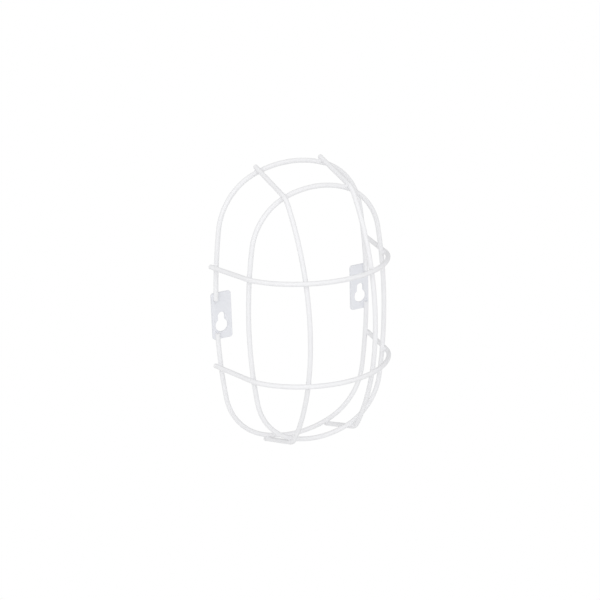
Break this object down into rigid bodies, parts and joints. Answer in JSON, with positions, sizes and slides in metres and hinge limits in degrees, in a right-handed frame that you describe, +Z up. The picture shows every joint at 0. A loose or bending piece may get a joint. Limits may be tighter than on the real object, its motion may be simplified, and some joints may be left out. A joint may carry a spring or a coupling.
{
  "type": "bulb cage guard",
  "caption": "Welded white wire cage that guards an oval wall lamp, hung on screws by keyhole tabs at its sides.",
  "frame": {"origin": "on the wall, midway between the two fixing screws when they sit at the tops of the keyhole slots", "axes": "+Z up the long way of the cage, +Y into the wall, so the cage stands out towards -Y, and +X from the left keyhole tab to the right one, seen from the front"},
  "size_m": [0.1234, 0.0747, 0.1982],
  "materials": {
    "white_coating": "satin white powder coat, slightly pooled at the welds"
  },
  "bodies": {
    "root": {"wall_ring": "white_coating", "wall_ring_lower": "white_coating", "collar_ring": "white_coating", "long_hoop_left": "white_coating", "long_hoop_right": "white_coating", "cross_hoop_upper": "white_coating", "cross_hoop_lower": "white_coating", "keyhole_tab_left": "white_coating", "keyhole_tab_right": "white_coating"}
  },
  "joints": []
}
